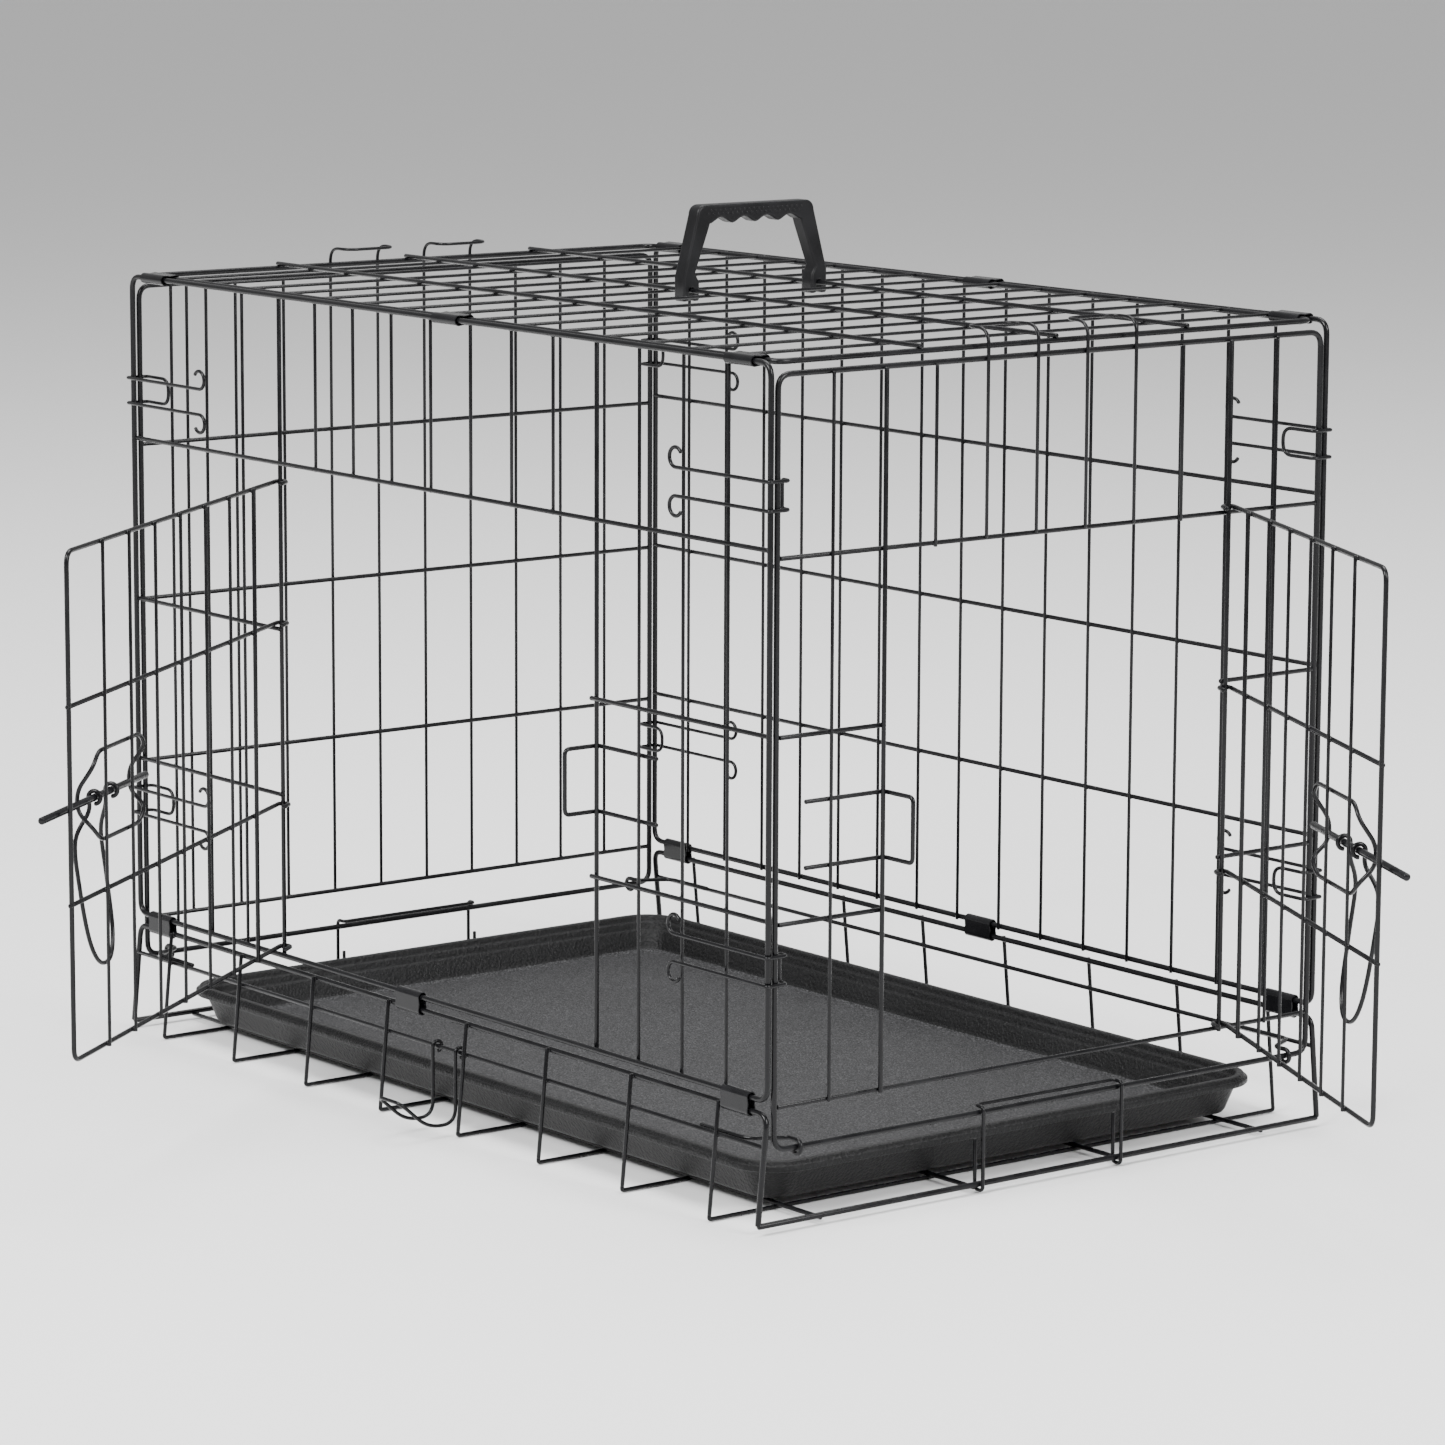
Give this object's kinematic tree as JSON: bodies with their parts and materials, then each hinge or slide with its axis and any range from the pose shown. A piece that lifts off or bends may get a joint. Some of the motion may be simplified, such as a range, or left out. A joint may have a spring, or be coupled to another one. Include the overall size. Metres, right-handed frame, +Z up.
{
  "type": "wire dog crate",
  "caption": "Folding black wire dog crate with a door in its long side and one in its end, slide bolts, a plastic tray and a top carry handle.",
  "frame": {"origin": "on the floor, under the middle of a cross wire of the base, one bay (47 mm) from the middle of the crate towards the end with the door", "axes": "+X towards the end with the door, -Y towards the long side with the door, +Z up"},
  "size_m": [1.069, 0.8279, 0.6243],
  "materials": {
    "coated_steel": "semi-gloss black coating",
    "handle_plastic": "moulded satin black",
    "tray_plastic": "pebbled charcoal"
  },
  "bodies": {
    "crate": {"back_end_hook_far": "coated_steel", "back_end_hook_near": "coated_steel", "back_end_panel": "coated_steel", "base_floor": "coated_steel", "base_front_side": "coated_steel", "base_rear_side": "coated_steel", "carry_handle": "handle_plastic", "corner_clip_lower_back_end_front": "coated_steel", "corner_clip_lower_back_end_rear": "coated_steel", "corner_clip_lower_door_end_front": "coated_steel", "corner_clip_lower_door_end_rear": "coated_steel", "corner_clip_upper_back_end_front": "coated_steel", "corner_clip_upper_back_end_rear": "coated_steel", "corner_clip_upper_door_end_front": "coated_steel", "corner_clip_upper_door_end_rear": "coated_steel", "door_end_catch": "coated_steel", "door_end_far_grille": "coated_steel", "door_end_frame": "coated_steel", "door_end_header": "coated_steel", "door_end_hook_far": "coated_steel", "door_end_hook_near": "coated_steel", "door_end_near_grille": "coated_steel", "door_end_sill": "coated_steel", "front_door_catch": "coated_steel", "front_panel_frame": "coated_steel", "front_panel_header": "coated_steel", "front_panel_left_grille": "coated_steel", "front_panel_right_grille": "coated_steel", "hinge_clip_bottom_front_left": "coated_steel", "hinge_clip_bottom_front_middle": "coated_steel", "hinge_clip_bottom_front_right": "coated_steel", "hinge_clip_bottom_rear_left": "coated_steel", "hinge_clip_bottom_rear_middle": "coated_steel", "hinge_clip_bottom_rear_right": "coated_steel", "hinge_clip_top_front_left": "coated_steel", "hinge_clip_top_front_middle": "coated_steel", "hinge_clip_top_front_right": "coated_steel", "hinge_clip_top_rear_left": "coated_steel", "hinge_clip_top_rear_middle": "coated_steel", "hinge_clip_top_rear_right": "coated_steel", "pivot_arm_back_end_front": "coated_steel", "pivot_arm_back_end_rear": "coated_steel", "pivot_arm_door_end_front": "coated_steel", "pivot_arm_door_end_rear": "coated_steel", "rear_panel": "coated_steel", "top_panel": "coated_steel", "tray_stop_back_end": "coated_steel", "tray_stop_door_end": "coated_steel"},
    "front_door": {"front_door": "coated_steel", "front_bolt_keeper": "coated_steel"},
    "front_bolt": {"front_bolt_rod": "coated_steel"},
    "front_bolt_loop": {"front_bolt_loop": "coated_steel"},
    "end_door": {"end_door": "coated_steel", "end_bolt_keeper": "coated_steel"},
    "end_bolt": {"end_bolt_rod": "coated_steel"},
    "end_bolt_loop": {"end_bolt_loop": "coated_steel"},
    "fold_hook": {"fold_hook": "coated_steel"},
    "tray": {"tray": "tray_plastic"}
  },
  "joints": [
    {"name": "front_door_swing", "type": "hinge", "parent": "crate", "child": "front_door", "pos_m": [-0.235, -0.2363, 0.262], "axis": [0, 0, -1], "range_deg": [-50.5, 106]},
    {"name": "front_bolt_slide", "type": "slide", "parent": "front_door", "child": "front_bolt", "axis": [0.5878, -0.809, 0], "range_m": [-0.039, 0.009]},
    {"name": "front_bolt_loop_turn", "type": "hinge", "parent": "front_bolt", "child": "front_bolt_loop", "pos_m": [-0.06455, -0.49069, 0.257], "axis": [-0.5878, 0.809, 0], "range_deg": [0, 120]},
    {"name": "end_door_swing", "type": "hinge", "parent": "crate", "child": "end_door", "pos_m": [0.3327, 0.14923, 0.266], "axis": [0, 0, 1], "range_deg": [-60.5, 95]},
    {"name": "end_bolt_slide", "type": "slide", "parent": "end_door", "child": "end_bolt", "axis": [0.9063, -0.4226, 0], "range_m": [-0.039, 0.009]},
    {"name": "end_bolt_loop_turn", "type": "hinge", "parent": "end_bolt", "child": "end_bolt_loop", "pos_m": [0.54466, 0.06322, 0.252], "axis": [0.9063, -0.4226, 0], "range_deg": [0, 120]},
    {"name": "fold_hook_swing", "type": "hinge", "parent": "crate", "child": "fold_hook", "pos_m": [-0.022, -0.24239, 0.057], "axis": [-1, 0, 0], "range_deg": [0, 75]},
    {"name": "tray_slide", "type": "slide", "parent": "crate", "child": "tray", "axis": [1, 0, 0], "range_m": [-0.015, 0.015]}
  ]
}
